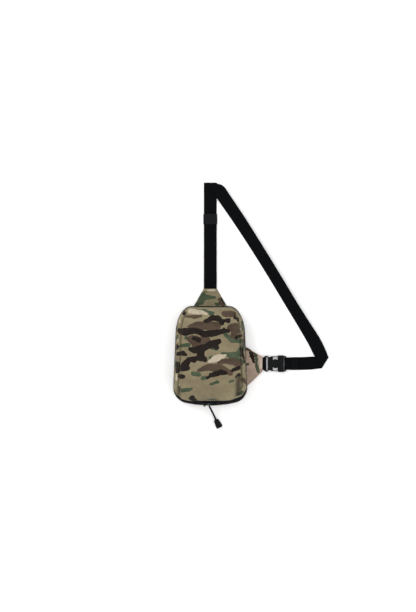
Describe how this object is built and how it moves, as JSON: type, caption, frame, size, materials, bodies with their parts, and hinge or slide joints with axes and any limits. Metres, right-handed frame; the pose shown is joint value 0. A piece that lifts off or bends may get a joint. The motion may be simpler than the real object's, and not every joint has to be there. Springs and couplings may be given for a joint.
{
  "type": "sling bag",
  "caption": "Camouflage cloth sling bag lying on its back, with a zipped front shell, a folded webbing strap, a side-release buckle and a cord pull.",
  "frame": {"origin": "centre of the bag's back, on the surface it lies on", "axes": "+X towards the buckle side, +Y up the bag towards the strap, +Z out of the front panel"},
  "size_m": [0.459, 0.7267, 0.0851],
  "materials": {
    "camo": null,
    "camo_wing": "woven nylon, printed, paler",
    "lining": "coated lining cloth",
    "mesh": "spacer mesh",
    "foam": "closed-cell foam",
    "binding": "grosgrain tape",
    "webbing": "woven nylon webbing",
    "elastic": "ribbed elastic",
    "zip_tape": "woven tape",
    "zip_coil": "nylon coil",
    "cord": "braided cord",
    "plastic": "moulded acetal, satin",
    "gunmetal": "dark lacquered die-casting"
  },
  "bodies": {
    "root": {"back_mesh": "mesh", "back_foam": "foam", "back_panel": "camo", "back_binding": "binding", "rear_gusset": "camo", "rear_lining": "lining", "inner_pocket": "lining", "zip_tape_rear": "zip_tape", "zip_coil_rear": "zip_coil", "zip_stops": "gunmetal", "top_tab_front": "camo", "top_tab_back": "camo", "wing_front": "camo_wing", "wing_back": "camo_wing", "wing_webbing": "webbing", "buckle_male": "plastic", "strap_upper": "webbing", "strap_tail": "webbing"},
    "front_shell": {"front_panel": "camo", "side_gusset_right": "camo", "side_gusset_left": "camo", "front_lining": "lining", "zip_tape_front": "zip_tape", "zip_coil_front": "zip_coil"},
    "slider_right": {"zip_slider_right": "gunmetal"},
    "slider_left": {"zip_slider_left": "gunmetal"},
    "pull_right": {"pull_cord": "cord", "cord_end": "plastic"},
    "pull_left": {"pull_tab": "gunmetal"},
    "arm_upper": {"buckle_arm_upper": "plastic"},
    "arm_lower": {"buckle_arm_lower": "plastic"},
    "shoulder_strap": {"strap_diagonal": "webbing", "strap_lower": "webbing", "buckle_female": "plastic"},
    "keeper": {"strap_keeper": "elastic"}
  },
  "joints": [
    {"name": "front_opens", "type": "hinge", "parent": "root", "child": "front_shell", "pos_m": [0, 0.1465, 0.033], "axis": [-1, 0, 0], "range_deg": [0, 100]},
    {"name": "slider_right_runs", "type": "hinge", "parent": "front_shell", "child": "slider_right", "pos_m": [0, 0.1905, 0.033], "axis": [0, 0, 1], "range_deg": [0, 12]},
    {"name": "slider_left_runs", "type": "hinge", "parent": "front_shell", "child": "slider_left", "pos_m": [0, 0.1905, 0.033], "axis": [0, 0, 1], "range_deg": [-9.5, 0]},
    {"name": "cord_lifts", "type": "hinge", "parent": "slider_right", "child": "pull_right", "pos_m": [-0.003, -0.14375, 0.0365], "axis": [-1, 0, 0], "range_deg": [0, 110]},
    {"name": "tab_lifts", "type": "hinge", "parent": "slider_left", "child": "pull_left", "pos_m": [-0.017, -0.1433, 0.0365], "axis": [-1, 0, 0], "range_deg": [0, 110]},
    {"name": "arm_upper_flexes", "type": "hinge", "parent": "root", "child": "arm_upper", "pos_m": [0.1849, -0.0025, 0.0052], "axis": [0, 0, 1], "range_deg": [-6, 0], "stiffness_Nm_per_rad": 0.05},
    {"name": "arm_lower_flexes", "type": "hinge", "parent": "root", "child": "arm_lower", "pos_m": [0.1849, -0.0445, 0.0052], "axis": [0, 0, 1], "range_deg": [0, 6], "stiffness_Nm_per_rad": 0.05},
    {"name": "buckle_releases", "type": "slide", "parent": "root", "child": "shoulder_strap", "axis": [1, 0, 0], "range_m": [0, 0.03], "deforming": ["buckle_arm_upper", "buckle_arm_lower"]},
    {"name": "keeper_slides", "type": "slide", "parent": "root", "child": "keeper", "axis": [0, 1, 0], "range_m": [-0.17, 0.04]}
  ],
  "couplings": [
    {"joint": "arm_lower_flexes", "follows": "arm_upper_flexes", "ratio": -1}
  ]
}
